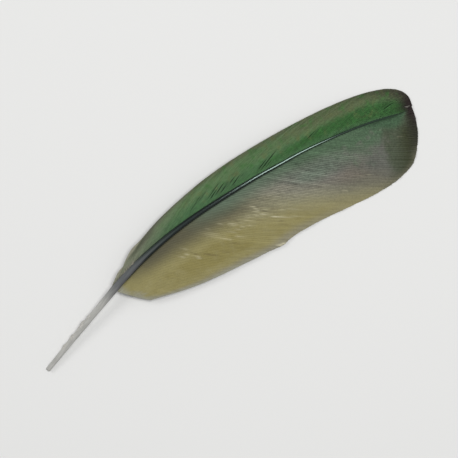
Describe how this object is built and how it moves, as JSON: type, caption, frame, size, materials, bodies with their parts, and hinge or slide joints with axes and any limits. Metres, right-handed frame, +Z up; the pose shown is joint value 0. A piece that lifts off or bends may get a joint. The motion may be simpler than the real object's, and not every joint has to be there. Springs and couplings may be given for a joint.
{
  "type": "green parrot wing feather",
  "caption": "Wing feather lying with its upper side up: bare pale quill, dark bowed shaft, narrow green outer vane and wide straw-grey inner vane.",
  "frame": {"origin": "middle of the box that holds the feather, at the height of the surface that it lies on", "axes": "+X from the quill's end to the feather's tip, +Y to the outer vane's side, +Z up from the surface to the feather's upper side"},
  "size_m": [0.13, 0.0326, 0.0055],
  "materials": {
    "shaft": "glossy dark horn, pale and chalky along the bare quill",
    "outer_vane": "fine ribbed barbs, green with an olive edge, silky",
    "inner_vane": "fine ribbed barbs, straw yellow to grey with a green band, silky"
  },
  "bodies": {
    "root": {"shaft": "shaft", "outer_vane": "outer_vane", "inner_vane": "inner_vane"}
  },
  "joints": []
}
